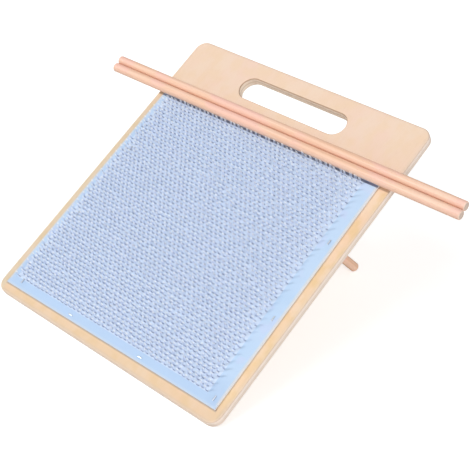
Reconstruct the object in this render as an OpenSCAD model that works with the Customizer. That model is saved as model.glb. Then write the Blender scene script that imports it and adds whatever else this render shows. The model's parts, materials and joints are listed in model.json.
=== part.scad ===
// Blending board: a plywood board with card cloth, two loose rods and two plug-in legs.
// It stands on its lower edge and on the ends of the legs, with the handle end raised.

/* [Board] */
// Width of the board
board_w = 305; // [260:1:380]
// Length of the board, from its lower edge to the handle end
board_l = 347; // [330:1:440]
// Thickness of the plywood
board_t = 10; // [9:0.5:16]
// Radius of the four corners, seen from above
board_corner_r = 12; // [6:1:30]
// Radius on the long edges of the plywood
board_arris_r = 2; // [0.8:0.1:3.5]
// Slope of the standing board
board_tilt = 29.3; // [20:0.1:36]

/* [Handle slot] */
// Length of the slot, end to end
slot_w = 136; // [90:1:180]
// Height of the slot
slot_h = 26; // [22:0.5:34]
// Wood between the slot and the handle end
slot_rim = 19.2; // [14:0.1:26]
// Radius on the slot's upper edge
slot_arris_r = 1; // [0.4:0.1:2]
// Radius on the slot's edge at the back
slot_back_r = 0.4; // [0.3:0.1:2]

/* [Card cloth] */
// Width of the cloth at its lower edge
cloth_w = 287; // [220:1:294]
// How much narrower the cloth is at its upper edge, all on the left
cloth_lean = 2.7; // [0:0.1:4]
// Length of the cloth
cloth_l = 277; // [250:1:284]
// Thickness of the cloth
cloth_t = 2; // [1.5:0.1:3]
// Wood below the cloth
cloth_lift = 11.6; // [9:0.1:16]
// Distance of the cloth's middle from the board's middle
cloth_shift = -1.4; // [-2:0.1:2]
// Angle at which the cloth was stapled down
cloth_skew = 0.7; // [-1:0.1:1]

/* [Teeth] */
// Bare cloth on the left of the teeth
bare_left = 7; // [5:0.5:24]
// Bare cloth on the right of the teeth
bare_right = 14.5; // [12:0.5:24]
// Bare cloth below the teeth
bare_low = 9.5; // [8:0.5:20]
// Bare cloth above the teeth, where the rods lie
bare_top = 21; // [16:0.5:28]
// Teeth side by side in a row
tooth_cols = 20; // [12:1:20]
// Rows of teeth
tooth_rows = 19; // [12:1:19]
// Thickness of a tooth
tooth_d = 1; // [0.6:0.1:1.4]
// Height of a tooth over the cloth
tooth_h = 8; // [5:0.5:9]
// Height at which a tooth bends
tooth_knee_h = 3.5; // [2:0.5:4.5]
// How far the knee lies towards the lower edge
tooth_knee_back = 0.8; // [0:0.1:1.5]
// How far the tip lies towards the handle
tooth_tip_forward = 0.6; // [0:0.1:1]
// Thickness of the slice of cloth that holds the teeth
tooth_slice_t = 0.5; // [0.3:0.1:0.8]

/* [Staples] */
// Length of a staple's crown
staple_w = 5.5; // [5:0.5:8]
// Width of the flat wire
staple_wire_w = 1.2; // [0.8:0.1:1.4]
// Thickness of the flat wire
staple_wire_t = 0.5; // [0.3:0.1:0.8]
// Length of a staple's leg under its crown
staple_leg = 8; // [5:0.5:9]
// Distance of the right staples from the cloth's right edge
staple_in_right = 7; // [5:0.1:10]
// Distance of the first and last side staples from the cloth's ends
staple_first = 8.6; // [7:0.1:14]
// Step from one side staple to the next
staple_step = 89; // [70:0.5:98]
// Distance of the lower and upper staples from the cloth's edge
staple_in_end = 4.8; // [3:0.1:7]
// Distance between the two staples of an end
staple_apart = 96.4; // [60:0.1:140]
// Distance of an end's staples from the cloth's middle
staple_end_shift = -2.8; // [-10:0.1:10]

/* [Rods] */
// Diameter of the rods
rod_d = 9.7; // [8:0.1:11]
// Length of the rods
rod_l = 449.5; // [320:0.5:600]
// Radius on the ends of the rods
rod_end_r = 1.6; // [0.5:0.1:2]
// Angle of the rods against the rows of teeth
rod_skew = -0.3; // [-0.4:0.1:0.4]
// Distance of the front rod's middle from the cloth's middle
rod_front_shift = 9.4; // [-30:0.1:30]
// Distance of the rear rod's middle from the cloth's middle
rod_rear_shift = 8.6; // [-30:0.1:30]

/* [Legs] */
// Diameter of the legs
leg_d = 10; // [8:0.5:12]
// Radius on the ends of the legs
leg_end_r = 2.2; // [0.5:0.1:2.5]
// Distance of a leg from the board's middle, at the back face
leg_x = 59.5; // [45:0.5:90]
// Distance of a leg from the lower edge, at the back face
leg_y = 214.5; // [190:1:235]
// Lean of a leg sideways
leg_splay = 12.7; // [0:0.5:18]
// Lean of a leg towards the handle
leg_rake = 11.3; // [0:0.5:18]
// Depth of a leg in its socket
leg_socket = 22; // [16:0.5:23]

/* [Leg blocks] */
// Size of a block along the board's width
block_w = 44; // [38:1:60]
// Size of a block along the board's length
block_l = 62; // [56:1:80]
// Thickness of a block
block_t = 26; // [25:0.5:32]
// Radius of a block's corners
block_corner_r = 5; // [2.5:0.5:9]
// Radius on the long edges of a block
block_arris_r = 1.5; // [0.5:0.1:2.5]
// Diameter of the block screws
screw_d = 3.5; // [3:0.5:4]
// Diameter of the screw heads
screw_head_d = 7; // [6:0.5:8]
// Length of the screws under the block's face
screw_l = 32; // [30:0.5:33]
// Distance of the screws from the block's ends
screw_in = 8; // [7:0.5:10]

/* [Hidden] */
STAPLES_SIDE = 4;
STAPLES_END = 2;
STAPLES = 2 * STAPLES_SIDE + 2 * STAPLES_END;
STAPLE_NODES = [for (n = [1:STAPLES]) str("staple_", n < 10 ? "0" : "", n)];
SCREW_NODES = [for (n = [1:4]) str("block_screw_", n)];

$fn = 64;

// Clearances and allowances
leg_fit = 0.05;      // radial, a leg in its socket
leg_end_gap = 0.2;   // a leg's end to the bottom of its socket
screw_fit = 0.05;    // radial, a screw in its hole
staple_fit = 0.05;   // all round, a staple's leg in its slot
slice_fit = 0.1;     // all round, the slice of cloth in its pocket
rod_seat_gap = 0.3;  // a rod over the staples that it rests on, and between the rods
rod_teeth_gap = 1.2; // the front rod to the teeth's field
cut_over = 1;        // how far a cutter reaches past the face

// Card cloth, about its own middle
field_w = cloth_w - bare_left - bare_right;
field_l = cloth_l - bare_low - bare_top;
field_x = -cloth_w / 2 + bare_left;
field_y = -cloth_l / 2 + bare_low;
cell_w = field_w / (tooth_cols + 0.5);
cell_l = field_l / tooth_rows;
cloth_mid = [cloth_shift, cloth_lift + cloth_l / 2];

// Rods, in the cloth's axes
rod_r = rod_d / 2;
rod_z = cloth_t + staple_wire_t + rod_seat_gap + rod_r;
rod_front_y = cloth_l / 2 - bare_top + rod_teeth_gap + rod_r;
rod_rear_y = rod_front_y + rod_d + rod_seat_gap;

// The height of the standing board's lowest line, before the board is raised onto the ground
low_line = board_arris_r * sin(board_tilt) - (board_t - board_arris_r) * cos(board_tilt) - board_arris_r;

// Legs, in the board's axes: the right leg, which is mirrored for the left one
leg_r = leg_d / 2;
leg_dir = unit([tan(leg_splay), tan(leg_rake), -1]);
leg_root = [leg_x, leg_y, -board_t];
leg_mouth = block_t / -leg_dir[2];
leg_start = leg_mouth - leg_socket + leg_end_gap;
leg_cos = -leg_dir * board_up();
leg_sin = sqrt(1 - leg_cos * leg_cos);
leg_drop = (leg_r - leg_end_r) * leg_sin + leg_end_r;
leg_finish = (height_of(leg_root) - leg_drop) / leg_cos + leg_end_r;
leg_l = leg_finish - leg_start;

// Leg blocks, about the middle of the socket
block_mid = leg_root + leg_dir * leg_mouth / 2;
screw_head_l = (screw_head_d - screw_d) / 2;
screw_point_l = screw_d;
screw_slot_w = 0.9;
screw_slot_l = screw_head_d * 0.6;
screw_slot_deep = screw_head_l * 0.7;

// Where the standing board lies: the middle of everything over the origin
front_line = board_arris_r * (cos(board_tilt) + sin(board_tilt) - 1);
back_line = (board_l - board_arris_r) * cos(board_tilt) + (board_t - board_arris_r) * sin(board_tilt)
    + board_arris_r;
rod_reach = (rod_l / 2 - rod_end_r) * cos(cloth_skew + rod_skew)
    + (rod_r - rod_end_r) * abs(sin(cloth_skew + rod_skew)) + rod_end_r;
rod_front_x = across_board([rod_front_shift, rod_front_y]);
rod_rear_x = across_board([rod_rear_shift, rod_rear_y]);
side_line = (max(rod_front_x, rod_rear_x) + min(rod_front_x, rod_rear_x)) / 2;
board_place = [-side_line, -(front_line + back_line) / 2, -low_line];

function unit(v) = v / norm(v);
function board_up() = [0, sin(board_tilt), cos(board_tilt)];
function height_of(p) = p * board_up() - low_line;
function across_board(p) = cloth_mid[0] + p[0] * cos(cloth_skew) - p[1] * sin(cloth_skew);
function reversed(face) = [for (n = [len(face) - 1:-1:0]) face[n]];
function mean_side(n) = n % 2 == 0 ? -1 : 1;

// Places the board's own axes in the standing position
module on_board()
    translate(board_place)
    rotate([board_tilt, 0, 0])
    children();

// Places the cloth's axes, about its middle, on the board
module on_cloth()
    on_board()
    translate([cloth_mid[0], cloth_mid[1], 0])
    rotate([0, 0, cloth_skew])
    children();

// Turns the z axis to a direction
module along(dir)
    rotate([0, acos(dir[2]), atan2(dir[1], dir[0])])
    children();

// Flat shape of a plate's edge: rounded at its outer corners, top face at height 0
module edge_profile(depth, thick, r) {
    translate([0, -thick]) square([depth - r, thick]);
    translate([0, r - thick]) square([depth, thick - 2 * r]);
    for (y = [-r, r - thick])
        translate([depth - r, y]) circle(r = r);
}

// One straight edge of a plate, along x, facing -y
module edge_strip(run, depth, thick, r)
    rotate([90, 0, -90])
    linear_extrude(height = run, center = true)
    edge_profile(depth, thick, r);

// A plate with rounded corners and rounded arrises, its top face at height 0
module soft_plate(w, l, thick, corner_r, r) {
    core_w = w - 2 * corner_r;
    core_l = l - 2 * corner_r;
    translate([-core_w / 2, -core_l / 2, -thick])
        cube([core_w, core_l, thick]);
    for (side = [0, 180]) {
        rotate([0, 0, side])
            translate([0, -core_l / 2, 0])
            edge_strip(core_w, corner_r, thick, r);
        rotate([0, 0, side + 90])
            translate([0, -core_w / 2, 0])
            edge_strip(core_l, corner_r, thick, r);
    }
    for (x = [-1, 1], y = [-1, 1])
        translate([x * core_w / 2, y * core_l / 2, 0])
        rotate([0, 0, y > 0 ? (x > 0 ? 0 : 90) : (x > 0 ? 270 : 180)])
        rotate_extrude(angle = 90)
        edge_profile(corner_r, thick, r);
}

// Flat shape of a slot's flared edge, from its middle line out, top face at height 0
module flare_profile(half, r)
    difference() {
        translate([0, -r]) square([half + r, r + cut_over]);
        translate([half + r, -r]) circle(r = r);
    }

// What the handle slot takes away, about its middle, from a plate with its top at height 0
module slot_cutter() {
    half = slot_h / 2;
    straight = slot_w - slot_h;
    translate([0, 0, -board_t - cut_over])
        linear_extrude(height = board_t + 2 * cut_over) {
            square([straight, slot_h], center = true);
            for (x = [-1, 1]) translate([x * straight / 2, 0]) circle(r = half);
        }
    for (face = [0, 1])
        translate([0, 0, -face * board_t])
        mirror([0, 0, face]) {
            edge_r = face == 0 ? slot_arris_r : slot_back_r;
            for (side = [0, 180]) {
                rotate([0, 0, side])
                    rotate([90, 0, -90])
                    linear_extrude(height = straight, center = true)
                    flare_profile(half, edge_r);
                rotate([0, 0, side])
                    translate([straight / 2, 0, 0])
                    rotate([0, 0, -90])
                    rotate_extrude(angle = 180)
                    flare_profile(half, edge_r);
            }
        }
}

// Place and turn of a staple, in the cloth's axes: 1 to 4 left, 5 to 8 right, then lower, then upper.
// The left ones stand midway between the first two lines of teeth.
function staple_turn(n) = n <= 2 * STAPLES_SIDE ? 90 : 0;
function staple_side_x(n) = n <= STAPLES_SIDE ? field_x + cell_w * 3 / 4 : cloth_w / 2 - staple_in_right;
function staple_side_y(k) =
    k < STAPLES_SIDE - 1 ? staple_first + k * staple_step - cloth_l / 2 : cloth_l / 2 - staple_first;
function staple_end_y(n) =
    (n <= 2 * STAPLES_SIDE + STAPLES_END ? -1 : 1) * (cloth_l / 2 - staple_in_end);
function staple_place(n) =
    n <= 2 * STAPLES_SIDE
        ? [staple_side_x(n), staple_side_y((n - 1) % STAPLES_SIDE)]
        : [staple_end_shift + mean_side(n - 1) * staple_apart / 2, staple_end_y(n)];

module at_staple(n)
    translate([staple_place(n)[0], staple_place(n)[1], cloth_t])
    rotate([0, 0, staple_turn(n)])
    children();

// The slots for one staple's legs
module staple_slots(n)
    at_staple(n)
    for (x = [-1, 1])
        translate([x * (staple_w - staple_wire_t) / 2, 0, -staple_leg / 2])
        cube([staple_wire_t + 2 * staple_fit, staple_wire_w + 2 * staple_fit, staple_leg + 2 * staple_fit],
            center = true);

module all_staple_slots()
    for (n = [1:STAPLES]) staple_slots(n);

// The screws' places, in the board's axes
function screw_place(n) = [
    (n <= 2 ? -1 : 1) * block_mid[0],
    block_mid[1] + mean_side(n) * (block_l / 2 - screw_in),
    -board_t - block_t];

// A countersunk screw shape, point up, its head's face at height 0
module screw_shape(grow) {
    cylinder(r1 = screw_head_d / 2 + grow, r2 = screw_d / 2 + grow, h = screw_head_l);
    cylinder(r = screw_d / 2 + grow, h = screw_l - screw_point_l);
    translate([0, 0, screw_l - screw_point_l])
        cylinder(r1 = screw_d / 2 + grow, r2 = grow + screw_d / 12, h = screw_point_l);
}

module screw_hole(n)
    translate(screw_place(n)) {
        screw_shape(screw_fit);
        translate([0, 0, -cut_over]) cylinder(r = screw_head_d / 2 + screw_fit, h = cut_over);
        translate([0, 0, screw_l - screw_point_l]) cylinder(r = screw_d / 2 + screw_fit, h = screw_point_l);
    }

module board()
    color([0.95, 0.84, 0.71])
    on_board()
    difference() {
        translate([0, board_l / 2, 0])
            soft_plate(board_w, board_l, board_t, board_corner_r, board_arris_r);
        translate([0, board_l - slot_rim - slot_h / 2, 0]) slot_cutter();
        translate([cloth_mid[0], cloth_mid[1], 0])
            rotate([0, 0, cloth_skew])
            all_staple_slots();
        for (n = [1:4]) screw_hole(n);
    }

module cloth_foundation()
    color([0.72, 0.83, 0.97])
    on_cloth()
    difference() {
        linear_extrude(height = cloth_t)
            polygon([
                [-cloth_w / 2, -cloth_l / 2],
                [cloth_w / 2, -cloth_l / 2],
                [cloth_w / 2, cloth_l / 2],
                [cloth_lean - cloth_w / 2, cloth_l / 2]]);
        translate([field_x - slice_fit, field_y - slice_fit, cloth_t - tooth_slice_t])
            cube([field_w + 2 * slice_fit, field_l + 2 * slice_fit, tooth_slice_t + cut_over]);
        all_staple_slots();
    }

// The teeth stand in a brick pattern: every second row starts half a cell further on.
// The slice's top is cut into cells. Line k of its grid has points half a cell apart.
grid_cols = 2 * tooth_cols + 2;
grid_count = grid_cols * (tooth_rows + 1);
tooth_sides = 3;
tooth_rings = 3;
teeth_count = tooth_rows * tooth_cols;
teeth_points = teeth_count * tooth_rings * tooth_sides;

function grid_point(k, m) = [m * cell_w / 2, k * cell_l, 0];
function grid_index(k, m) = k * grid_cols + m;
function tooth_index(j, i, ring, s) =
    grid_count + ((j * tooth_cols + i) * tooth_rings + ring) * tooth_sides + s % tooth_sides;
function tooth_foot(j, i) = [(i + 0.5 + (j % 2) / 2) * cell_w, (j + 0.5) * cell_l, 0];
function ring_offset(ring) =
    ring == 0 ? [0, 0, 0] : ring == 1 ? [0, -tooth_knee_back, tooth_knee_h] : [0, tooth_tip_forward, tooth_h];
function side_point(s) = tooth_d / 2 * [cos(90 + 120 * s), sin(90 + 120 * s), 0];

// The slice's rim, anticlockwise from above, as [line, point] pairs
slice_rim = concat(
    [for (m = [0:grid_cols - 1]) [0, m]],
    [for (k = [1:tooth_rows]) [k, grid_cols - 1]],
    [for (m = [grid_cols - 2:-1:0]) [tooth_rows, m]],
    [for (k = [tooth_rows - 1:-1:1]) [k, 0]]);
rim_count = len(slice_rim);
rim_start = grid_count + teeth_points;
floor_middle = rim_start + rim_count;

slice_points = concat(
    [for (k = [0:tooth_rows], m = [0:grid_cols - 1]) grid_point(k, m)],
    [for (j = [0:tooth_rows - 1], i = [0:tooth_cols - 1], ring = [0:tooth_rings - 1], s = [0:tooth_sides - 1])
        tooth_foot(j, i) + ring_offset(ring) + side_point(s)],
    [for (p = slice_rim) grid_point(p[0], p[1]) - [0, 0, tooth_slice_t]],
    [[field_w / 2, field_l / 2, -tooth_slice_t]]);

// Nine triangles between a cell's six rim points and the foot of its tooth
function cell_faces(j, i) =
    let (m = 2 * i + j % 2)
    let (a = grid_index(j, m), b = grid_index(j, m + 1), c = grid_index(j, m + 2))
    let (d = grid_index(j + 1, m + 2), e = grid_index(j + 1, m + 1), f = grid_index(j + 1, m))
    let (s0 = tooth_index(j, i, 0, 0), s1 = tooth_index(j, i, 0, 1), s2 = tooth_index(j, i, 0, 2))
    [[a, b, s1], [b, s2, s1], [b, c, s2], [c, d, s2], [d, s0, s2], [d, e, s0], [e, f, s0], [f, s1, s0],
     [f, a, s1]];

function tooth_faces(j, i) = concat(
    [for (ring = [0:tooth_rings - 2], s = [0:tooth_sides - 1], half = [0, 1])
        let (a = tooth_index(j, i, ring, s), b = tooth_index(j, i, ring, s + 1))
        let (c = tooth_index(j, i, ring + 1, s + 1), d = tooth_index(j, i, ring + 1, s))
        half == 0 ? [a, b, c] : [a, c, d]],
    [[for (s = [0:tooth_sides - 1]) tooth_index(j, i, tooth_rings - 1, s)]]);

// The half cell that is left at one end of each row
function end_faces(j) =
    let (m = j % 2 == 0 ? grid_cols - 2 : 0)
    let (a = grid_index(j, m), b = grid_index(j, m + 1), c = grid_index(j + 1, m + 1), d = grid_index(j + 1, m))
    [[a, b, c], [a, c, d]];

function wall_faces(n) =
    let (next = (n + 1) % rim_count)
    let (top = grid_index(slice_rim[n][0], slice_rim[n][1]))
    let (top_next = grid_index(slice_rim[next][0], slice_rim[next][1]))
    [[rim_start + n, rim_start + next, top_next], [rim_start + n, top_next, top],
     [floor_middle, rim_start + next, rim_start + n]];

slice_faces = concat(
    [for (j = [0:tooth_rows - 1], i = [0:tooth_cols - 1]) each cell_faces(j, i)],
    [for (j = [0:tooth_rows - 1], i = [0:tooth_cols - 1]) each tooth_faces(j, i)],
    [for (j = [0:tooth_rows - 1]) each end_faces(j)],
    [for (n = [0:rim_count - 1]) each wall_faces(n)]);

module card_teeth()
    color([0.62, 0.68, 0.78])
    on_cloth()
    translate([field_x, field_y, cloth_t])
    polyhedron(points = slice_points, faces = [for (face = slice_faces) reversed(face)]);

module staple(n)
    color([0.55, 0.56, 0.58])
    on_cloth()
    at_staple(n) {
        translate([-staple_w / 2, -staple_wire_w / 2, 0])
            cube([staple_w, staple_wire_w, staple_wire_t]);
        for (x = [-1, 1])
            translate([x * (staple_w - staple_wire_t) / 2 - staple_wire_t / 2, -staple_wire_w / 2, -staple_leg])
            cube([staple_wire_t, staple_wire_w, staple_leg]);
    }

// A turned dowel along z from height 0, with rounded ends
module dowel(length, r, end_r)
    rotate_extrude() {
        square([r - end_r, length]);
        translate([0, end_r]) square([r, length - 2 * end_r]);
        for (y = [end_r, length - end_r])
            translate([r - end_r, y])
            intersection() {
                circle(r = end_r);
                translate([0, -end_r]) square([end_r, 2 * end_r]);
            }
    }

module rod(shift, y)
    color([0.96, 0.79, 0.68])
    on_cloth()
    translate([shift, y, rod_z])
    rotate([0, 0, rod_skew])
    rotate([0, 90, 0])
    translate([0, 0, -rod_l / 2])
    dowel(rod_l, rod_r, rod_end_r);

// Mirrors a right-hand piece for the left side, in the board's axes
module on_side(side)
    on_board()
    mirror([side < 0 ? 1 : 0, 0, 0])
    children();

module leg_block(side)
    color([0.90, 0.76, 0.58])
    difference() {
        on_side(side)
        difference() {
            translate([block_mid[0], block_mid[1], -board_t])
                soft_plate(block_w, block_l, block_t, block_corner_r, block_arris_r);
            translate(leg_root + leg_dir * (leg_mouth - leg_socket))
                along(leg_dir)
                cylinder(r = leg_r + leg_fit, h = leg_socket + leg_d);
        }
        on_board()
            for (n = [1:4]) screw_hole(n);
    }

module block_screw(n)
    color([0.80, 0.72, 0.45])
    on_board()
    translate(screw_place(n))
    difference() {
        screw_shape(0);
        for (turn = [0, 90])
            rotate([0, 0, turn])
            translate([-screw_slot_l / 2, -screw_slot_w / 2, -cut_over])
            cube([screw_slot_l, screw_slot_w, cut_over + screw_slot_deep]);
    }

module leg(side)
    color([0.88, 0.72, 0.56])
    on_side(side)
    translate(leg_root + leg_dir * leg_start)
    along(leg_dir)
    dowel(leg_l, leg_r, leg_end_r);

board();
cloth_foundation();
card_teeth();
for (n = [1:STAPLES])
    staple(n);
rod(rod_front_shift, rod_front_y);  // front_rod
rod(rod_rear_shift, rod_rear_y);  // rear_rod
leg_block(-1);  // left_leg_block
leg_block(1);  // right_leg_block
for (n = [1:4])
    block_screw(n);
leg(-1);  // left_leg
leg(1);  // right_leg
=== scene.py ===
import json
import math
import random

import bmesh
import bpy
from mathutils import Matrix, Vector, noise


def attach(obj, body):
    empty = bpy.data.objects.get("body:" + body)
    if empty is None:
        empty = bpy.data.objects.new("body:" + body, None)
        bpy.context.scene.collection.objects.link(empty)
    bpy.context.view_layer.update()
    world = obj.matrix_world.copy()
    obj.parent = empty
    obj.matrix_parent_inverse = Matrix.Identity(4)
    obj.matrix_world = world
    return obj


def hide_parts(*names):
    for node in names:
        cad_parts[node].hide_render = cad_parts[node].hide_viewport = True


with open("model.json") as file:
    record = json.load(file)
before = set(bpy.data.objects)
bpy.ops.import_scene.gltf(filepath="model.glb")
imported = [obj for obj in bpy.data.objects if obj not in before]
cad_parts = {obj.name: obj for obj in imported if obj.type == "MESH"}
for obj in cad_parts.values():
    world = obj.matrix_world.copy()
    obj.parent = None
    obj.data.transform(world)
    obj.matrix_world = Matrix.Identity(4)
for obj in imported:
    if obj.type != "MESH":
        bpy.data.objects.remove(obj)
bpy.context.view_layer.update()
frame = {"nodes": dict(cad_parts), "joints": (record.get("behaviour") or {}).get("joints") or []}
nodes = frame["nodes"]
mm = 0.001
print("frame loaded:", len(nodes), "nodes")


# Directions of the tilted board, read from the way that its rods lift off

def jointNamed(name):
    return next(joint for joint in frame["joints"] if joint["name"] == name)


across = Vector((1, 0, 0))
outOfBoard = Vector(jointNamed("front_rod_lift")["axis"]).normalized()
upBoard = outOfBoard.cross(across)
tilt = math.atan2(upBoard.z, upBoard.y)
turnToBoard = Matrix((across, upBoard, outOfBoard)).to_4x4()


def pointsOf(name, turn):
    return [turn @ vertex.co for vertex in nodes[name].data.vertices]


def boxOf(points):
    low = Vector([min(point[k] for point in points) for k in range(3)])
    high = Vector([max(point[k] for point in points) for k in range(3)])
    return low, high


boardLow, boardHigh = boxOf(pointsOf("board", turnToBoard))
boardZero = Vector(((boardLow.x + boardHigh.x) / 2, boardLow.y, boardHigh.z))
worldToBoard = Matrix.Translation(-boardZero) @ turnToBoard
boardToWorld = worldToBoard.inverted()
boardThick = boardHigh.z - boardLow.z

# The cloth lies a little askew, and its left edge leans in: its corners give its own axes
clothPoints = pointsOf("cloth_foundation", worldToBoard)
clothLowLeft = min(clothPoints, key=lambda point: point.y)
clothLowRight = max(clothPoints, key=lambda point: point.x)
clothUpLeft = min(clothPoints, key=lambda point: point.x)
clothUpRight = max(clothPoints, key=lambda point: point.y)
clothSkew = math.atan2(clothLowRight.y - clothLowLeft.y, clothLowRight.x - clothLowLeft.x)
clothWide = (clothLowRight - clothLowLeft).xy.length
clothLong = (clothUpRight - clothLowRight).xy.length
clothLean = clothWide - (clothUpRight - clothUpLeft).xy.length
clothThick = max(point.z for point in clothPoints)
clothMiddle = (clothLowLeft + clothLowRight) / 2 + (clothUpRight - clothLowRight) / 2
clothMiddle.z = 0
clothToBoard = Matrix.Translation(clothMiddle) @ Matrix.Rotation(clothSkew, 4, "Z")
clothToWorld = boardToWorld @ clothToBoard
worldToCloth = clothToWorld.inverted()
teethLow, teethHigh = boxOf(pointsOf("card_teeth", worldToCloth))


def clothLeft(y):  # the left edge at a height y, which can also be a signal of a material
    return clothLean * (y / clothLong + 0.5) - clothWide / 2


print("cloth %.1f x %.1f x %.1f mm" % (clothWide / mm, clothLong / mm, clothThick / mm))


# Shader maths

class Signal:  # a value on its way through a material
    def __init__(self, finish, socket):
        self.finish = finish
        self.socket = socket

    def math(self, operation, first, second=None):
        values = {0: first}
        if second is not None:
            values[1] = second
        return self.finish.add("ShaderNodeMath", {"operation": operation}, values)

    def __add__(self, other):
        return self.math("ADD", self, other)

    def __radd__(self, other):
        return self.math("ADD", other, self)

    def __sub__(self, other):
        return self.math("SUBTRACT", self, other)

    def __rsub__(self, other):
        return self.math("SUBTRACT", other, self)

    def __mul__(self, other):
        return self.math("MULTIPLY", self, other)

    def __rmul__(self, other):
        return self.math("MULTIPLY", other, self)

    def __truediv__(self, other):
        return self.math("DIVIDE", self, other)

    def __gt__(self, other):
        return self.math("GREATER_THAN", self, other)

    def __lt__(self, other):
        return self.math("LESS_THAN", self, other)

    def __abs__(self):
        return self.math("ABSOLUTE", self)

    def sine(self):
        return self.math("SINE", self)

    def fraction(self):
        return self.math("FRACT", self)

    def whole(self):
        return self.math("FLOOR", self)

    def root(self):
        return self.math("SQRT", self)

    def least(self, other):
        return self.math("MINIMUM", self, other)

    def most(self, other):
        return self.math("MAXIMUM", self, other)

    def ramp(self, low, high):  # 0 at low, 1 at high, smooth between them
        return self.finish.add(
            "ShaderNodeMapRange", {"interpolation_type": "SMOOTHSTEP"},
            {"Value": self, "From Min": low, "From Max": high})


class Finish:  # one material and its nodes
    def __init__(self, name, roughness=0.5, metallic=0.0):
        self.material = bpy.data.materials.new(name)
        self.material.use_nodes = True
        self.tree = self.material.node_tree
        self.shader = self.tree.nodes["Principled BSDF"]
        self.shader.inputs["Roughness"].default_value = roughness
        self.shader.inputs["Metallic"].default_value = metallic

    def add(self, kind, settings=None, values=None, output=0):
        node = self.tree.nodes.new(kind)
        for key, value in (settings or {}).items():
            setattr(node, key, value)
        for key, value in (values or {}).items():
            self.feed(node.inputs[key], value)
        return Signal(self, node.outputs[output])

    def feed(self, socket, value):
        if isinstance(value, Signal):
            self.tree.links.new(value.socket, socket)
        else:
            socket.default_value = value

    def to(self, name, value):
        self.feed(self.shader.inputs[name], value)

    def objectSpot(self):
        return self.add("ShaderNodeTexCoord", output=3)

    def objectNormal(self):
        return self.add("ShaderNodeTexCoord", output=1)

    def mapped(self, vector, location=(0, 0, 0), rotation=(0, 0, 0), scale=(1, 1, 1)):
        return self.add(
            "ShaderNodeMapping", {},
            {"Vector": vector, "Location": location, "Rotation": rotation, "Scale": scale})

    def parts(self, vector):
        split = self.add("ShaderNodeSeparateXYZ", {}, {0: vector})
        return [Signal(self, socket) for socket in split.socket.node.outputs]

    def joined(self, x, y, z):
        return self.add("ShaderNodeCombineXYZ", {}, {0: x, 1: y, 2: z})

    # a scale of one number is the same every way, one of three is for x, y and z
    def cloud(self, vector, scale, detail=2.0, rough=0.5, distortion=0.0):
        if isinstance(scale, tuple):
            vector = self.mapped(vector, scale=scale)
            scale = 1.0
        return self.add("ShaderNodeTexNoise", {"noise_dimensions": "3D"}, {
            "Vector": vector, "Scale": scale, "Detail": detail, "Roughness": rough, "Distortion": distortion})

    def cells(self, vector, scale):
        return self.add("ShaderNodeTexVoronoi", {"feature": "F1"}, {"Vector": vector, "Scale": scale})

    def blend(self, first, second, factor):
        return self.add(
            "ShaderNodeMix", {"data_type": "RGBA", "blend_type": "MIX"},
            {0: factor, 6: asColour(first), 7: asColour(second)}, output=2)

    def relief(self, height, depth):  # depth in metres for a height of 1
        self.to("Normal", self.add("ShaderNodeBump", {}, {"Height": height, "Distance": depth}))


def linear(colour):  # from the 0 to 255 values of a picture
    def one(value):
        value = value / 255
        return value / 12.92 if value <= 0.04045 else ((value + 0.055) / 1.055) ** 2.4
    return tuple(one(value) for value in colour) + (1.0,)


def asColour(value):
    return value if isinstance(value, Signal) else linear(value)


def boardSpot(finish):  # metres in the board's own axes
    return finish.mapped(finish.objectSpot(), location=tuple(-boardZero), rotation=(-tilt, 0, 0))


def boardNormal(finish):  # which way the surface faces, in the board's own axes
    return finish.mapped(finish.objectNormal(), rotation=(-tilt, 0, 0))


def clothSpot(finish):  # metres in the cloth's own axes
    return finish.mapped(
        finish.mapped(boardSpot(finish), location=tuple(-clothMiddle)), rotation=(0, 0, -clothSkew))


def insideCloth(x, y):  # how far inside the cloth's edge a spot lies, negative outside it
    aside = (x - clothLeft(y)).least(clothWide / 2 - x)
    return aside.least(y + clothLong / 2).least(clothLong / 2 - y)


endReach = 1 * mm  # how near a rod's last point its end begins


def farEnd(name, side):  # the middle of a rod's end at the left (-1) or the right (1)
    points = pointsOf(name, worldToBoard)
    last = max(side * point.x for point in points)
    low, high = boxOf([point for point in points if side * point.x > last - endReach])
    return (low + high) / 2


# the painted shadow line under the front rod
rodShadowLine = {
    "half": 0.8 * mm,  # half its full dark width
    "fade": 0.9 * mm,
}


# A thin dark line of painted shadow under the front rod, on the board and on the cloth
def paintedRodShadow(x, y, before):
    left = farEnd("front_rod", -1)
    along = farEnd("front_rod", 1) - left
    line = (x - left.x) * (along.y / along.x) + left.y
    return abs(y - line + before).ramp(rodShadowLine["half"] + rodShadowLine["fade"], rodShadowLine["half"])


# Birch plywood: a sanded face veneer, with the plies showing wherever the edge is cut or rounded

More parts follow.
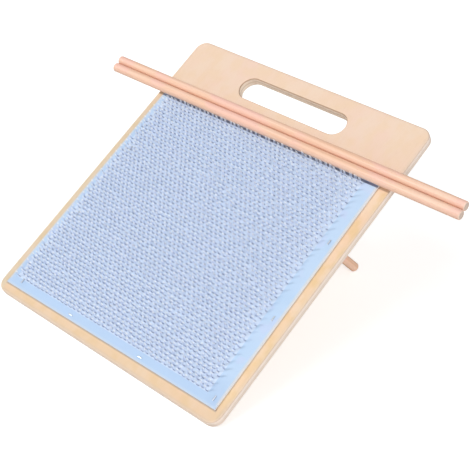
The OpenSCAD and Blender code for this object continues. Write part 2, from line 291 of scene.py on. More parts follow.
plywoodLook = {
    "plies": 7,
    "veneer": 1.05 * mm,
    "wobble": 0.4 * mm,  # how far a glue line strays
    "face": (242, 211, 175),
    "faceWarm": (238, 202, 160),
    "facePink": (247, 207, 176),
    "handle": (245, 216, 192),
    "handleWarm": (241, 207, 180),
    "handlePink": (246, 213, 197),
    "pinkShare": 0.6,
    "ringShare": 0.2,
    "streakShare": 0.3,
    "pale": (244, 221, 198),
    "paleShare": 0.5,
    "gold": (234, 198, 138),
    "handleGold": (243, 213, 182),
    "goldShare": 0.62,
    "pore": (212, 168, 130),
    "poreShare": 0.16,
    "foot": (222, 193, 160),
    "footHigh": 34 * mm,
    "footShare": 0.5,
    "paintedShade": (206, 188, 172),
    "paintedShadeReach": 4.5 * mm,
    "paintedShadeShare": 0.14,
    "leftStripTone": (214, 206, 184),
    "leftStripWide": 10 * mm,
    "leftStripShare": 0.42,
    "longGrain": (255, 241, 230),
    "endGrain": (248, 229, 216),
    "endPore": (224, 202, 184),
    "glue": (206, 172, 146),
    "glueThick": 0.08,  # of a ply
    "glueShare": 0.55,
    "firstGlueShare": 0.85,
    "clothEdgeShade": (178, 158, 142),
    "clothEdgeShadeReach": 1.9 * mm,
    "clothEdgeShadeShare": 0.16,
    "lowClothEdgeShadeShare": 0.74,  # more along the cloth's lower edge
    "paintedRodShade": (140, 104, 76),
    "rodShadowBefore": 3.5 * mm,  # below the rod's middle line
    "paintedRodShadeShare": 0.35,
    "slotRim": (172, 132, 98),
    "slotRimDeep": 1.1 * mm,
    "slotRimShare": 0.8,
    "slotCoreShare": 0.3,
    "slotWallLight": (255, 238, 218),
    "slotWallLightShare": 0.75,
    "endGreyShare": 0.34,
    "lowerGreyShare": 0.34,
    "outerEdge": 15 * mm,  # an edge further in than this is the slot's
    "handleFrom": 275 * mm,
    "handleFade": 8 * mm,
    "figureScale": (26, 3.2, 26),
    "figureLines": 34,
    "streakScale": (620, 9, 620),
    "poreScale": (2600, 130, 2600),
    "blotchScale": (14, 7, 14),
    "cloudScale": (30, 22, 30),
    "patchScale": (74, 52, 74),
    "wobbleScale": (24, 24, 24),
    "edgeGrainScale": (90, 90, 1500),
    "edgePoreScale": (1500, 1500, 1500),
    "relief": 0.08 * mm,
    "roughness": 0.5,
}


def plywoodFinish(look):
    finish = Finish("birch plywood", look["roughness"])
    spot = boardSpot(finish)
    x, y, z = finish.parts(spot)

    # broad figure of the face veneer, drawn out along the board, warm beside the cloth, pinker at the handle
    figure = finish.cloud(spot, look["figureScale"], detail=3, rough=0.55, distortion=0.6)
    rings = (figure * look["figureLines"]).sine() * 0.5 + 0.5
    streaks = finish.cloud(spot, look["streakScale"], detail=3, rough=0.6)
    pores = finish.cloud(spot, look["poreScale"])
    blotch = finish.cloud(spot, look["blotchScale"])
    cloudy = finish.cloud(spot, look["cloudScale"])
    patches = finish.cloud(spot, look["patchScale"])
    atHandle = y.ramp(look["handleFrom"] - look["handleFade"], look["handleFrom"] + look["handleFade"])
    plain = finish.blend(look["face"], look["handle"], atHandle)
    warm = finish.blend(look["faceWarm"], look["handleWarm"], atHandle)
    pink = finish.blend(look["facePink"], look["handlePink"], atHandle)
    grain = rings * look["ringShare"] + streaks.ramp(0.45, 0.75) * look["streakShare"]
    face = finish.blend(plain, warm, grain)
    face = finish.blend(face, pink, blotch.ramp(0.42, 0.66) * look["pinkShare"])
    face = finish.blend(face, look["pale"], cloudy.ramp(0.4, 0.64) * look["paleShare"])
    gold = finish.blend(look["gold"], look["handleGold"], atHandle)
    face = finish.blend(face, gold, patches.ramp(0.4, 0.68) * look["goldShare"])
    poreMask = pores.ramp(0.60, 0.72)
    face = finish.blend(face, look["pore"], poreMask * look["poreShare"])

    # darker towards the table, with painted shade near the outline, and greyer beside the cloth's left edge
    wide = boardHigh.x - boardLow.x
    long = boardHigh.y - boardLow.y
    atFoot = y.ramp(look["footHigh"], 0.2 * look["footHigh"])
    face = finish.blend(face, look["foot"], atFoot * look["footShare"])
    fromEdge = (wide / 2 - abs(x)).least(y).least(long - y)
    # painted shade near the outline of the face, strongest towards the table
    wearAndShade = fromEdge.ramp(look["paintedShadeReach"], 0.25 * look["paintedShadeReach"])
    face = finish.blend(face, look["paintedShade"], wearAndShade * (look["paintedShadeShare"] + atFoot * 0.3))
    # greyer along the board's left side, below the handle
    leftStrip = x.ramp(look["leftStripWide"] - wide / 2, 0.8 * look["leftStripWide"] - wide / 2) * (1 - atHandle)
    face = finish.blend(face, look["leftStripTone"], leftStrip * look["leftStripShare"])

    # painted shade along the edge of the cloth, most along the lower one
    clothX, clothY = finish.parts(clothSpot(finish))[:2]
    gap = insideCloth(clothX, clothY)
    onFront = z.ramp(-2 * look["veneer"], -look["veneer"])
    # painted shade beside the cloth's cut edge, on the board's front
    clothEdgeShade = gap.ramp(-look["clothEdgeShadeReach"], -0.2 * look["clothEdgeShadeReach"]) * onFront
    lowerSide = clothY.ramp(-0.49 * clothLong, -0.5 * clothLong)
    clothEdgeShade = clothEdgeShade * (look["clothEdgeShadeShare"] + lowerSide * look["lowClothEdgeShadeShare"])
    face = finish.blend(face, look["clothEdgeShade"], clothEdgeShade)
    # painted shadow under the front rod
    paintedRodShade = paintedRodShadow(x, y, look["rodShadowBefore"]) * onFront
    face = finish.blend(face, look["paintedRodShade"], paintedRodShade * (look["paintedRodShadeShare"] + blotch * 0.5))

    # plies: which one a point lies in, and how near its glue line is
    wobble = (finish.cloud(spot, look["wobbleScale"], detail=1) - 0.5) * look["wobble"]
    innerPly = (boardThick - 2 * look["veneer"]) / (look["plies"] - 2)
    depth = (wobble - z - look["veneer"]) / innerPly + 1
    within = depth.fraction()
    crossPly = (depth * 0.5).fraction() > 0.5
    glue = abs(within - 0.5).ramp(0.5 - look["glueThick"], 0.5)
    firstGlue = abs(depth - 1).ramp(0.16, 0.04)

    # a ply shows its long grain on one pair of edges and its end grain on the other
    normalY, normalZ = finish.parts(boardNormal(finish))[1:]
    onEdge = abs(normalZ).ramp(0.995, 0.93)
    facesAlong = abs(normalY).ramp(0.5, 0.86)
    endPart = crossPly + facesAlong - crossPly * facesAlong * 2
    edgeGrain = finish.cloud(spot, look["edgeGrainScale"], detail=3, rough=0.65)
    edgePores = finish.cloud(spot, look["edgePoreScale"], rough=0.7)
    longTone = finish.blend(look["longGrain"], look["faceWarm"], edgeGrain.ramp(0.4, 0.7) * 0.35)
    endTone = finish.blend(look["endGrain"], look["endPore"], edgePores.ramp(0.5, 0.72) * 0.5)
    edge = finish.blend(longTone, endTone, endPart * 0.8)
    edge = finish.blend(edge, face, depth.ramp(1.0, 0.85) * 0.85)
    glued = (glue * look["glueShare"]).most(firstGlue * look["firstGlueShare"])
    edge = finish.blend(edge, look["glue"], glued)

    # the slot's rim is brown and its walls are painted paler, as painted light against the shade in the slot,
    # and the middle ply shows dark there
    inSlot = (abs(x) < wide / 2 - look["outerEdge"]) * (abs(y - long / 2) < long / 2 - look["outerEdge"])
    # painted light on the slot's walls
    edge = finish.blend(edge, look["slotWallLight"], inSlot * (look["slotWallLightShare"] - glue * 0.4))
    nearRim = z.ramp(-1.4 * look["slotRimDeep"], -0.5 * look["slotRimDeep"])
    core = abs(depth - look["plies"] / 2).ramp(0.6, 0.4)
    brown = (nearRim * look["slotRimShare"]).most(core * look["slotCoreShare"])
    edge = finish.blend(edge, look["slotRim"], inSlot * brown)

    # painted shade greys the outer edges, most at the two ends and over the lower half
    lowerHalf = z.ramp(-0.36 * boardThick, -0.5 * boardThick)
    edgeShade = 0.04 + facesAlong * look["endGreyShare"] + lowerHalf * look["lowerGreyShare"]
    edge = finish.blend(edge, look["paintedShade"], (1 - inSlot) * edgeShade)

    finish.to("Base Color", finish.blend(face, edge, onEdge))
    finish.to("Roughness", look["roughness"] + (streaks - 0.5) * 0.16 + onEdge * 0.12)
    height = streaks * 0.5 - poreMask * 0.5 + onEdge * (edgePores * 0.8 - glue * 0.7)
    finish.relief(height, look["relief"])
    return finish.material


# Beech dowel: long grain with short flecks and pinker stretches, dull on its eased rim, grey on its end

dowelLook = {
    "light": (254, 216, 192),
    "dark": (238, 188, 152),
    "lineShare": 0.6,
    "broadShare": 0.4,
    "pink": (252, 200, 188),
    "pinkShare": 0.6,
    "fleck": (206, 148, 118),
    "fleckShare": 0.5,
    "paintedShade": (224, 184, 160),
    "paintedShadeShare": 0.62,
    "paintedRodShade": (196, 138, 108),
    "paintedRodShadeShare": 0.4,
    "rim": (236, 210, 192),
    "rimShare": 0.6,
    "end": (212, 194, 180),
    "endRing": (184, 158, 142),
    "endRingShare": 0.7,
    "lineScale": (700, 700, 7),
    "broadScale": (180, 180, 5),
    "patchScale": (70, 70, 26),
    "fleckScale": (2300, 2300, 330),
    "bendScale": (160, 160, 160),
    "endPoreScale": (3200, 3200, 3200),
    "pith": (-16 * mm, -5 * mm),  # the tree's middle, off the dowel's own
    "ringLines": 4200,
    "relief": 0.06 * mm,
    "roughness": 0.58,
}


# The spot of a dowel: its length along z, its middle line through x = y = 0
def dowelSpot(finish, start, turn):
    return finish.mapped(
        finish.objectSpot(), location=tuple(-(turn @ start)), rotation=tuple(turn.to_euler("XYZ")))


# A rod that lies against its neighbour has that neighbour's middle as its partner, and gets painted shade on
# its front flank and in the seam towards it
def dowelFinish(name, look, start, direction, partner=None):
    finish = Finish(name, look["roughness"])
    turn = direction.to_track_quat("Z", "Y").inverted()
    spot = dowelSpot(finish, start, turn)
    x, y = finish.parts(spot)[:2]
    lines = finish.cloud(spot, look["lineScale"], detail=4, rough=0.6)
    broad = finish.cloud(spot, look["broadScale"])
    patches = finish.cloud(spot, look["patchScale"])
    fleckMask = finish.cloud(spot, look["fleckScale"]).ramp(0.64, 0.74)
    grain = lines.ramp(0.38, 0.72) * look["lineShare"] + broad.ramp(0.4, 0.66) * look["broadShare"]
    side = finish.blend(look["light"], look["dark"], grain)
    side = finish.blend(side, look["pink"], patches.ramp(0.46, 0.62) * look["pinkShare"])
    side = finish.blend(side, look["fleck"], fleckMask * look["fleckShare"])
    if partner is not None:
        towards = turn @ (partner - start)
        radius = towards.xy.length / 2
        towards.normalize()
        front = turn @ -upBoard
        facing = (x * towards.x + y * towards.y) / radius
        inFront = (x * front.x + y * front.y) / radius
        # painted shade on the rod's front flank
        side = finish.blend(side, look["paintedShade"], inFront.ramp(0.0, 0.95) * look["paintedShadeShare"])
        # painted shade in the seam towards the neighbour
        side = finish.blend(side, look["paintedRodShade"], facing.ramp(0.86, 0.99) * look["paintedRodShadeShare"])

    # the two ends show rings and pores, and the rounding before them is dull
    normal = finish.mapped(finish.objectNormal(), rotation=tuple(turn.to_euler("XYZ")))
    normalZ = finish.parts(normal)[2]
    onEnd = abs(normalZ).ramp(0.86, 0.98)
    onRim = abs(normalZ).ramp(0.15, 0.5)
    pithX, pithY = look["pith"]
    fromPith = finish.add("ShaderNodeVectorMath", {"operation": "LENGTH"}, {
        0: finish.joined(x - pithX, y - pithY, 0.0)}, output=1)
    bend = finish.cloud(spot, look["bendScale"])
    ring = (fromPith * look["ringLines"] + bend * 2.4).sine() * 0.5 + 0.5
    endPores = finish.cloud(spot, look["endPoreScale"], detail=1)
    end = finish.blend(look["end"], look["endRing"], ring.ramp(0.55, 1.0) * look["endRingShare"])
    end = finish.blend(end, look["fleck"], endPores.ramp(0.56, 0.68) * 0.35)

    side = finish.blend(side, look["rim"], onRim * look["rimShare"])
    finish.to("Base Color", finish.blend(side, end, onEnd))
    finish.to("Roughness", look["roughness"] + (lines - 0.5) * 0.2 + onEnd * 0.25)
    finish.relief(lines * 0.6 - fleckMask * 0.6 + onEnd * endPores * 0.6, look["relief"])
    return finish.material


# Planed block: straight grain up the board

blockLook = {
    "light": (238, 206, 168),
    "dark": (219, 178, 134),
    "pore": (170, 122, 84),
    "lineScale": (240, 6, 420),
    "poreScale": (1800, 160, 1800),
    "relief": 0.07 * mm,
    "roughness": 0.5,
}


def blockFinish(look):
    finish = Finish("planed beech", look["roughness"])
    spot = boardSpot(finish)
    lines = finish.cloud(spot, look["lineScale"], detail=4, rough=0.6)
    poreMask = finish.cloud(spot, look["poreScale"], rough=0.6).ramp(0.58, 0.70)
    normalY = finish.parts(boardNormal(finish))[1]
    onEnd = abs(normalY).ramp(0.7, 0.95)
    tone = finish.blend(look["light"], look["dark"], lines.ramp(0.35, 0.7) * 0.9)
    tone = finish.blend(tone, look["pore"], poreMask * (0.3 + onEnd * 0.4))
    finish.to("Base Color", finish.blend(tone, look["dark"], onEnd * 0.5))
    finish.to("Roughness", look["roughness"] + (lines - 0.5) * 0.2)
    finish.relief(lines * 0.5 - poreMask, look["relief"])
    return finish.material


# Card cloth: pale blue rubber face on layers of cotton, greyed along its cut, with painted shade at each
# tooth's foot and painted light over the tooth field

clothLook = {
    "face": (195, 219, 246),
    "deep": (184, 213, 243),
    "deepShare": 0.6,
    "lilac": (202, 212, 245),
    "lilacShare": 0.4,
    "wearAndShade": (210, 227, 248),
    "wornShare": 0.4,
    "shade": (181, 207, 238),
    "shadeHigh": 40 * mm,
    "shadeShare": 0.8,
    "field": (220, 233, 252),
    "fieldShare": 0.75,
    "foot": (110, 122, 152),
    "footReach": 0.9 * mm,
    "footShare": 0.2,
    "rim": (226, 222, 218),
    "rimReach": 3.0 * mm,
    "rimShare": 0.7,
    "paintedRodShade": (80, 82, 108),
    "rodShadowBefore": 4.3 * mm,  # below the rod's middle line
    "paintedRodShadeShare": 0.6,
    "cotton": (236, 236, 238),
    "cottonLine": (188, 192, 202),
    "seat": (150, 140, 134),
    "seatShare": 0.4,
    "layers": 4,
    "facePart": 0.35,  # of the thickness
    "weave": 0.9 * mm,
    "patchScale": (22, 22, 22),
    "tintScale": (55, 55, 55),
    "pebbleScale": (2400, 2400, 2400),
    "threadScale": (1100, 1100, 2600),
    "relief": 0.05 * mm,
    "roughness": 0.62,
}


def lastRow(shape):  # the height of the lowest row of wires
    return shape["top"] - shape["rowStep"] * int((shape["top"] - shape["low"]) / shape["rowStep"])


def clothFinish(look, shape):
    finish = Finish("card cloth", look["roughness"])
    spot = clothSpot(finish)
    x, y, z = finish.parts(spot)
    patches = finish.cloud(spot, look["patchScale"], detail=3)
    tints = finish.cloud(spot, look["tintScale"])
    pebbles = finish.cloud(spot, look["pebbleScale"], rough=0.6)
    # the cotton's weave prints through the rubber
    thread = 2 * math.pi / look["weave"]
    weave = (x * thread).sine() * (y * thread).sine()
    face = finish.blend(look["face"], look["deep"], patches.ramp(0.4, 0.7) * look["deepShare"])
    face = finish.blend(face, look["lilac"], tints.ramp(0.5, 0.62) * look["lilacShare"])
    face = finish.blend(face, look["wearAndShade"], pebbles.ramp(0.52, 0.7) * look["wornShare"])

    fromLow = y + clothLong / 2
    shade = fromLow.ramp(look["shadeHigh"], 0.3 * look["shadeHigh"])
    face = finish.blend(face, look["shade"], shade * look["shadeShare"])

    # painted shade round each tooth's foot, where the rubber is also pressed in
    row = (shape["top"] - y) / shape["rowStep"]
    nearRow = (row + 0.5).whole()
    place = (shape["right"] - x) / shape["wireStep"] - shape["firstWire"] - (nearRow * 0.5).fraction()
    aside = abs((place + 0.5).fraction() - 0.5) * shape["wireStep"] - shape["apart"] / 2
    along = (row - nearRow) * shape["rowStep"]
    between = (x > clothLeft(y) + shape["left"]) * (x < shape["right"])
    inField = between * (y > lastRow(shape) - look["footReach"])
    fromFoot = (aside * aside + along * along).root()
    # painted shade at each tooth's foot
    foot = fromFoot.ramp(look["footReach"], 0.3 * look["footReach"]) * inField
    # painted light: the cloth inside the tooth field is lighter, against the teeth's shade
    face = finish.blend(face, look["field"], inField * look["fieldShare"])
    face = finish.blend(face, look["foot"], foot * look["footShare"])
    rim = insideCloth(x, y).ramp(look["rimReach"], 0.2 * look["rimReach"])
    lowerSide = fromLow.ramp(2 * look["rimReach"], look["rimReach"])
    face = finish.blend(face, look["rim"], rim * (look["rimShare"] - lowerSide * 0.45))

    boardX, boardY = finish.parts(boardSpot(finish))[:2]
    # painted shadow under the front rod
    paintedRodShade = paintedRodShadow(boardX, boardY, look["rodShadowBefore"])
    face = finish.blend(face, look["paintedRodShade"], paintedRodShade * (look["paintedRodShadeShare"] + tints * 0.5))

    # the cut sides show the layers, with painted shade where they meet the board
    level = z / clothThick
    stack = (level * look["layers"]).fraction()
    seam = abs(stack - 0.5).ramp(0.36, 0.48)
    threads = finish.cloud(spot, look["threadScale"], rough=0.7)
    cut = finish.blend(look["cotton"], look["cottonLine"], seam * 0.4 + threads.ramp(0.5, 0.7) * 0.25)
    # painted shade at the foot of the cut side
    seat = level.ramp(0.3, 0.1) * (look["seatShare"] + lowerSide * 0.5)
    cut = finish.blend(cut, look["seat"], seat)
    onTop = level.ramp(1 - look["facePart"] * 0.9, 1 - look["facePart"] * 0.6)
    finish.to("Base Color", finish.blend(cut, face, onTop))
    finish.to("Roughness", look["roughness"] + (pebbles - 0.5) * 0.2 + (1 - onTop) * 0.25)
    finish.relief(pebbles * 0.5 + weave * 0.35 + (1 - onTop) * threads - foot * 2, look["relief"])
    return finish.material


# Metals

wireLook = {
    "tip": (255, 255, 255),
    "bright": (220, 231, 253),
    "dull": (200, 213, 242),
    "foot": (96, 110, 154),
    "tintScale": 240,
    "drawnScale": 5200,
    "relief": 0.01 * mm,
    "metallic": 0.1,
    "roughness": 0.34,
}


def wireFinish(look):  # tinned wire: painted shade at its foot, a painted highlight at its tip
    finish = Finish("card wire", look["roughness"], look["metallic"])
    z = finish.parts(clothSpot(finish))[2]
    spot = finish.objectSpot()
    tint = finish.cloud(spot, look["tintScale"], detail=1)
    drawn = finish.cloud(spot, look["drawnScale"], detail=1)
    level = (z - clothThick) / (teethHigh.z - clothThick)
    tone = finish.blend(look["bright"], look["dull"], tint.ramp(0.35, 0.65))
    # painted highlight at the tip
    tone = finish.blend(tone, look["tip"], level.ramp(0.66, 0.8))
    # painted shade at the foot
    finish.to("Base Color", finish.blend(look["foot"], tone, level.ramp(0.06, 0.36)))
    finish.to("Roughness", look["roughness"] + (drawn - 0.5) * 0.16)
    finish.relief(drawn, look["relief"])
    return finish.material


stapleLook = {
    "dull": (146, 152, 162),
    "bright": (194, 200, 210),
    "spangleScale": 1400,
    "rubScale": 2600,
    "relief": 0.01 * mm,
    "roughness": 0.34,
}


def stapleFinish(look):
    finish = Finish("galvanised staple", look["roughness"], 1.0)
    spot = finish.objectSpot()
    spangle = finish.cells(spot, look["spangleScale"])
    rubs = finish.cloud(spot, look["rubScale"])
    finish.to("Base Color", finish.blend(look["dull"], look["bright"], spangle.ramp(0.1, 0.6)))
    finish.to("Roughness", look["roughness"] + (rubs - 0.5) * 0.3)
    finish.relief(rubs, look["relief"])
    return finish.material


screwLook = {
    "brass": (214, 184, 112),
    "tarnish": (168, 132, 70),
    "tarnishScale": 500,
    "rubScale": 4200,
    "relief": 0.01 * mm,
    "roughness": 0.3,
}


def screwFinish(look):
    finish = Finish("brassed screw", look["roughness"], 1.0)
    spot = finish.objectSpot()
    tarnish = finish.cloud(spot, look["tarnishScale"], detail=3)
    rubs = finish.cloud(spot, look["rubScale"], detail=1)
    finish.to("Base Color", finish.blend(look["brass"], look["tarnish"], tarnish.ramp(0.42, 0.7) * 0.7))
    finish.to("Roughness", look["roughness"] + (tarnish - 0.5) * 0.3 + (rubs - 0.5) * 0.1)
    finish.relief(rubs, look["relief"])
    return finish.material


def dress(name, material):  # gives a CAD node its finish
    for slot in nodes[name].material_slots:
        slot.material = material


# Pieces are made about their own zero and then moved to their place

cornerAngle = 1.0  # in radians, two faces that meet by more than this make a corner


def finishPiece(work, name, place, material, smoothUnder=None):
    bmesh.ops.transform(work, matrix=place, verts=work.verts)
    bmesh.ops.recalc_face_normals(work, faces=work.faces)
    mesh = bpy.data.meshes.new(name)
    work.to_mesh(mesh)
    work.free()
    mesh.materials.append(material)
    piece = bpy.data.objects.new(name, mesh)
    bpy.context.collection.objects.link(piece)
    if smoothUnder is None:
        mesh.shade_flat()
    else:
        mesh.shade_smooth()
        mesh.set_sharp_from_angle(angle=math.radians(smoothUnder))
    return piece


# Staples

stapleShape = {
    "bend": 0.9 * mm,
    "ease": 0.12 * mm,
    "sink": 0.12 * mm,
    "legShown": 1.6 * mm,
    "same": 0.001 * mm,  # two spots nearer than this are one
}


def stapleFrame(name):
    low, high = boxOf(pointsOf(name, worldToCloth))
    size = high - low
    alongY = size.y > size.x
    middle = (low + high) / 2
    crown = max(size.x, size.y)
    wire = min(size.x, size.y)
    thick = high.z - clothThick
    turn = Matrix.Rotation(math.pi / 2, 4, "Z") if alongY else Matrix.Identity(4)
    return middle, crown, wire, thick, turn


def makeStaple(name, shape, material, pressed):  # pressed is from 0, proud, to 1, sunk a little
    middle, crown, wire, thick, turn = stapleFrame(name)
    work = bmesh.new()
    bmesh.ops.create_cube(work, size=1)
    size = Matrix.Diagonal((crown, wire, thick, 1))
    lift = Matrix.Translation((0, 0, thick / 2))
    bmesh.ops.transform(work, matrix=lift @ size, verts=work.verts)
    # each end turns down into a leg
    inner = crown / 2 - thick
    for side in (-1, 1):
        bmesh.ops.bisect_plane(
            work, geom=work.verts[:] + work.edges[:] + work.faces[:],
            plane_co=(side * inner, 0, 0), plane_no=(side, 0, 0))
        foot = [face for face in work.faces
                if face.normal.z < -0.9 and side * face.calc_center_median().x > inner]
        grown = bmesh.ops.extrude_face_region(work, geom=foot)
        moved = [item for item in grown["geom"] if isinstance(item, bmesh.types.BMVert)]
        bmesh.ops.delete(work, geom=foot, context="FACES")
        bmesh.ops.translate(work, verts=moved, vec=(0, 0, -shape["legShown"]))
    shoulders = [edge for edge in work.edges
                 if all(abs(abs(vertex.co.x) - crown / 2) < shape["same"]
                        and abs(vertex.co.z - thick) < shape["same"] for vertex in edge.verts)]
    bmesh.ops.bevel(
        work, geom=shoulders, offset=min(shape["bend"], thick * 0.9), offset_type="OFFSET", segments=4,
        profile=0.5, affect="EDGES", material=-1)
    longEdges = [edge for edge in work.edges if edge.calc_face_angle(0) > cornerAngle]
    bmesh.ops.bevel(
        work, geom=longEdges, offset=shape["ease"], offset_type="OFFSET", segments=2,
        profile=0.5, affect="EDGES", material=-1)
    seat = Vector((middle.x, middle.y, clothThick - shape["sink"] * pressed))
    place = clothToWorld @ Matrix.Translation(seat) @ turn
    piece = finishPiece(work, name + "_wire", place, material, smoothUnder=35)
    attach(piece, "base")
    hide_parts(name)


# Cloth: one sheet, pulled down a little under each staple

clothShape = {
    "cell": 3 * mm,
    "ease": 0.25 * mm,
    "dimple": 0.35 * mm,
    "dimpleCore": 0.25,  # of the staple's length, each way
    "dimpleReach": 7 * mm,
    "dimpleFall": 4,
    "wave": 0.12 * mm,
    "waveLong": 60 * mm,
}


def makeCloth(shape, material, staples):
    columns = round(clothWide / shape["cell"])
    rows = round(clothLong / shape["cell"])
    work = bmesh.new()
    bmesh.ops.create_grid(work, x_segments=columns, y_segments=rows, size=0.5)
    for vertex in work.verts:
        y = vertex.co.y * clothLong
        width = clothWide / 2 - clothLeft(y)
        vertex.co = (clothWide / 2 - (0.5 - vertex.co.x) * width, y, 0)
    skin = work.faces[:]
    grown = bmesh.ops.extrude_face_region(work, geom=skin, use_keep_orig=True)
    top = [item for item in grown["geom"] if isinstance(item, bmesh.types.BMVert)]
    bmesh.ops.translate(work, verts=top, vec=(0, 0, clothThick))
    topSet = set(top)
    rim = [edge for edge in work.edges
           if all(vertex in topSet for vertex in edge.verts) and edge.calc_face_angle(0) > cornerAngle]
    for vertex in top:
        sag = shape["wave"] * (noise.noise(vertex.co / shape["waveLong"]) - 0.5)
        for middle, crown in staples:
            aside = (vertex.co.xy - middle.xy).length - crown * shape["dimpleCore"]
            gap = max(0.0, aside) / shape["dimpleReach"]
            sag -= shape["dimple"] * math.exp(-gap * gap * shape["dimpleFall"])
        vertex.co.z += min(sag, 0)
    bmesh.ops.bevel(
        work, geom=rim, offset=shape["ease"], offset_type="OFFSET", segments=2, profile=0.5,
        affect="EDGES", material=-1)
    piece = finishPiece(work, "card_cloth_sheet", clothToWorld, material, smoothUnder=40)
    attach(piece, "base")
    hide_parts("cloth_foundation")


# Wire teeth: each wire is a U pushed up through the cloth, so that it shows as two bent teeth

teethShape = {
    "rowStep": 4.05 * mm,
    "wireStep": 5.9 * mm,
    "firstWire": 0.25,  # how many steps from the right edge, and half a step more in every other row
    "apart": 1.5 * mm,
    "wire": 0.6 * mm,
    "knee": 2.2 * mm,
    "tipForward": 1.65 * mm,
    "halfForward": 0.55,  # the part of it that is reached halfway from the knee to the tip
    "tipPart": 0.7,  # the tip's thickness by the wire's
    "sides": 5,
    "stagger": 0.55 * mm,
    "lean": 8.0,  # degrees, each way
    "seed": 11,
    "clear": 0.6 * mm,  # round each staple
    "left": 6.8 * mm,  # from the cloth's left edge
    "right": teethHigh.x - 1.5 * mm,
    "low": teethLow.y,
    "top": teethHigh.y - 2.1 * mm,
}


def oneTooth(work, shape, high, spot):
    ring = bmesh.ops.create_circle(work, cap_ends=False, segments=shape["sides"], radius=shape["wire"] / 2)
    verts = ring["verts"]
    bmesh.ops.translate(work, verts=verts, vec=(spot, 0, 0))
    edges = list(dict.fromkeys(edge for vertex in verts for edge in vertex.link_edges))
    forward = shape["tipForward"]
    rise = (high - shape["knee"]) / 2
    steps = [
        Vector((0, 0, shape["knee"])),
        Vector((0, forward * shape["halfForward"], rise)),
        Vector((0, forward * (1 - shape["halfForward"]), rise)),
    ]
    for step in steps:
        grown = bmesh.ops.extrude_edge_only(work, edges=edges)["geom"]
        verts = [item for item in grown if isinstance(item, bmesh.types.BMVert)]
        edges = [item for item in grown if isinstance(item, bmesh.types.BMEdge)]
        edges = [edge for edge in edges if all(vertex in verts for vertex in edge.verts)]
        bmesh.ops.translate(work, verts=verts, vec=step)
    middle = sum((vertex.co for vertex in verts), Vector()) / len(verts)
    part = shape["tipPart"]
    bmesh.ops.scale(work, verts=verts, vec=(part, part, part), space=Matrix.Translation(-middle))
    bmesh.ops.contextual_create(work, geom=edges)


def makeWire(shape):  # both teeth of one wire, their feet at z 0
    single = bmesh.new()
    for side in (-1, 1):
        oneTooth(single, shape, teethHigh.z - clothThick, side * shape["apart"] / 2)
    mesh = bpy.data.meshes.new("wire")
    single.to_mesh(mesh)
    single.free()
    return mesh


def wirePlaces(shape, row, y):  # from the right edge of the field to its slanting left edge
    x = shape["right"] - shape["wireStep"] * (shape["firstWire"] + row % 2 / 2)
    while x - shape["apart"] / 2 > clothLeft(y) + shape["left"]:
        yield x
        x -= shape["wireStep"]


def standsOnStaple(shape, x, y, staples):
    reach = shape["apart"] / 2 + shape["clear"]
    return any(low.x - reach < x < high.x + reach
               and low.y - shape["clear"] < y < high.y + shape["clear"] for low, high in staples)


def makeTeeth(shape, material, staples):
    random.seed(shape["seed"])
    wire = makeWire(shape)
    lean = math.radians(shape["lean"])
    rows = int((shape["top"] - shape["low"]) / shape["rowStep"]) + 1
    rowMesh = bpy.data.meshes.new("row")
    work = bmesh.new()
    for row in range(rows):
        y = shape["top"] - shape["rowStep"] * row
        line = bmesh.new()
        for x in wirePlaces(shape, row, y):
            if standsOnStaple(shape, x, y, staples):
                continue
            shift = Vector((random.uniform(-1, 1), random.uniform(-1, 1), 0)) * shape["stagger"]
            tip = Matrix.Rotation(random.uniform(-lean, lean), 4, "X")
            tip = tip @ Matrix.Rotation(random.uniform(-lean, lean), 4, "Y")
            line.from_mesh(wire)
            place = Matrix.Translation(Vector((x, y, clothThick)) + shift) @ tip
            bmesh.ops.transform(line, matrix=place, verts=line.verts[-len(wire.vertices):])
        line.to_mesh(rowMesh)
        line.free()
        work.from_mesh(rowMesh)
    print("teeth:", rows, "rows,", len(work.verts) // len(wire.vertices), "wires,", len(work.faces), "faces")
    piece = finishPiece(work, "wire_teeth", clothToWorld, material, smoothUnder=120)
    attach(piece, "base")
    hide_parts("card_teeth")


# Finishes on the CAD nodes

dress("board", plywoodFinish(plywoodLook))
blockWood = blockFinish(blockLook)
screwMetal = screwFinish(screwLook)
for name in nodes:
    if name.endswith("_leg_block"):
        dress(name, blockWood)
    if name.startswith("block_screw"):
        dress(name, screwMetal)


def dowelMiddle(name):
    low, high = boxOf([vertex.co for vertex in nodes[name].data.vertices])
    return (low + high) / 2


for name, other in (("front_rod", "rear_rod"), ("rear_rod", "front_rod")):
    rodWay = (boardToWorld.to_3x3() @ (farEnd(name, 1) - farEnd(name, -1))).normalized()
    dress(name, dowelFinish("beech " + name, dowelLook, dowelMiddle(name), rodWay, dowelMiddle(other)))
for name in ("left_leg", "right_leg"):
    legWay = Vector(jointNamed(name + "_pull")["axis"]).normalized()
    dress(name, dowelFinish("beech " + name, dowelLook, dowelMiddle(name), legWay))
print("CAD nodes dressed")

stapleNames = sorted(name for name in nodes if name.startswith("staple"))
stapleSteel = stapleFinish(stapleLook)
for number, name in enumerate(stapleNames):
    makeStaple(name, stapleShape, stapleSteel, number % 3 / 2)
stapleSpots = [stapleFrame(name)[:2] for name in stapleNames]
stapleBoxes = [boxOf(pointsOf(name, worldToCloth)) for name in stapleNames]
makeCloth(clothShape, clothFinish(clothLook, teethShape), stapleSpots)
makeTeeth(teethShape, wireFinish(wireLook), stapleBoxes)
print("cloth, teeth and staples made")


# Camera: the photograph's own, found from the board's edges

cameraSetup = {
    "aim": (43.93 * mm, 165.10 * mm, 0),
    "distance": 1125.67 * mm,
    "turn": 42.996,  # degrees round from the front
    "pitch": 33.634,  # degrees up
    "lens": 90.434,
    "sensor": 36,
    "near": 50 * mm,
    "far": 20,
}


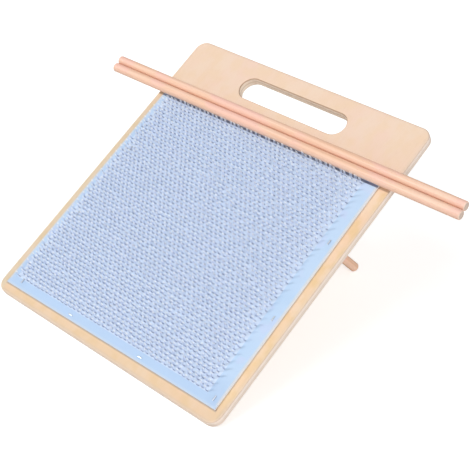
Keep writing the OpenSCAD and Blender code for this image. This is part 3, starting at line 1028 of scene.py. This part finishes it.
def makeCamera(setup):
    data = bpy.data.cameras.new("view")
    data.lens = setup["lens"]
    data.sensor_width = setup["sensor"]
    data.clip_start = setup["near"]
    data.clip_end = setup["far"]
    camera = bpy.data.objects.new("view", data)
    bpy.context.collection.objects.link(camera)
    turn = math.radians(setup["turn"])
    pitch = math.radians(setup["pitch"])
    back = Vector((math.sin(turn) * math.cos(pitch), -math.cos(turn) * math.cos(pitch), math.sin(pitch)))
    camera.location = boardToWorld @ Vector(setup["aim"]) + back * setup["distance"]
    camera.rotation_euler = (-back).to_track_quat("-Z", "Y").to_euler()
    bpy.context.scene.camera = camera


makeCamera(cameraSetup)


# Floor and light

studio = {
    "floor": (244, 244, 244),
    "floorHalf": 6,
    "floorRough": 0.9,
    "floorGlow": 0.57,
    "world": 0.3,
    "keyPower": 74,
    "keySize": 0.28,
    "keyWay": (-0.51, -0.65, 0.565),
    "keyAway": 4.0,
    "topPower": 11,
    "topSize": 1.0,
    "topWay": (-0.05, -0.42, 0.9),
    "topAway": 3.0,
    "fillPower": 44,
    "fillSize": 2.4,
    "fillWay": (0.9, -0.3, 0.3),
    "fillAway": 3.0,
}


def makeFloor(setup):
    finish = Finish("studio floor", setup["floorRough"])
    finish.to("Base Color", linear(setup["floor"]))
    ray = finish.add("ShaderNodeLightPath", output=0)
    glow = finish.add("ShaderNodeEmission", {}, {"Color": (1, 1, 1, 1), "Strength": setup["floorGlow"]})
    shine = finish.add("ShaderNodeMixShader", {}, {0: ray, 2: glow})
    both = finish.add("ShaderNodeAddShader", {}, {1: shine})
    finish.tree.links.new(finish.shader.outputs[0], both.socket.node.inputs[0])
    finish.tree.links.new(both.socket, finish.tree.nodes["Material Output"].inputs["Surface"])
    work = bmesh.new()
    bmesh.ops.create_grid(work, x_segments=1, y_segments=1, size=setup["floorHalf"])
    floor = finishPiece(work, "floor", Matrix.Identity(4), finish.material)


def makeLamp(name, setup):  # a round lamp that looks at the board's middle
    data = bpy.data.lights.new(name, "AREA")
    data.energy = setup[name + "Power"]
    data.size = setup[name + "Size"]
    data.shape = "DISK"
    lamp = bpy.data.objects.new(name, data)
    way = Vector(setup[name + "Way"]).normalized()
    middle = boardToWorld @ Vector((0, (boardHigh.y - boardLow.y) / 2, 0))
    lamp.location = middle + way * setup[name + "Away"]
    lamp.rotation_euler = (-way).to_track_quat("-Z", "Y").to_euler()
    bpy.context.collection.objects.link(lamp)


def makeWorld(setup):
    world = bpy.data.worlds.new("studio")
    world.use_nodes = True
    tree = world.node_tree
    background = tree.nodes["Background"]
    background.inputs["Color"].default_value = (1, 1, 1, 1)
    ray = tree.nodes.new("ShaderNodeLightPath")
    seen = tree.nodes.new("ShaderNodeMath")
    seen.operation = "MAXIMUM"
    tree.links.new(ray.outputs["Is Camera Ray"], seen.inputs[0])
    tree.links.new(ray.outputs["Is Glossy Ray"], seen.inputs[1])
    level = tree.nodes.new("ShaderNodeMapRange")
    level.inputs["To Min"].default_value = setup["world"]
    level.inputs["To Max"].default_value = 1.0
    tree.links.new(seen.outputs[0], level.inputs["Value"])
    tree.links.new(level.outputs[0], background.inputs["Strength"])
    bpy.context.scene.world = world


makeFloor(studio)
for name in ("key", "top", "fill"):
    makeLamp(name, studio)
makeWorld(studio)
bpy.context.scene.view_settings.view_transform = "Standard"
print("camera, floor and lamps set")
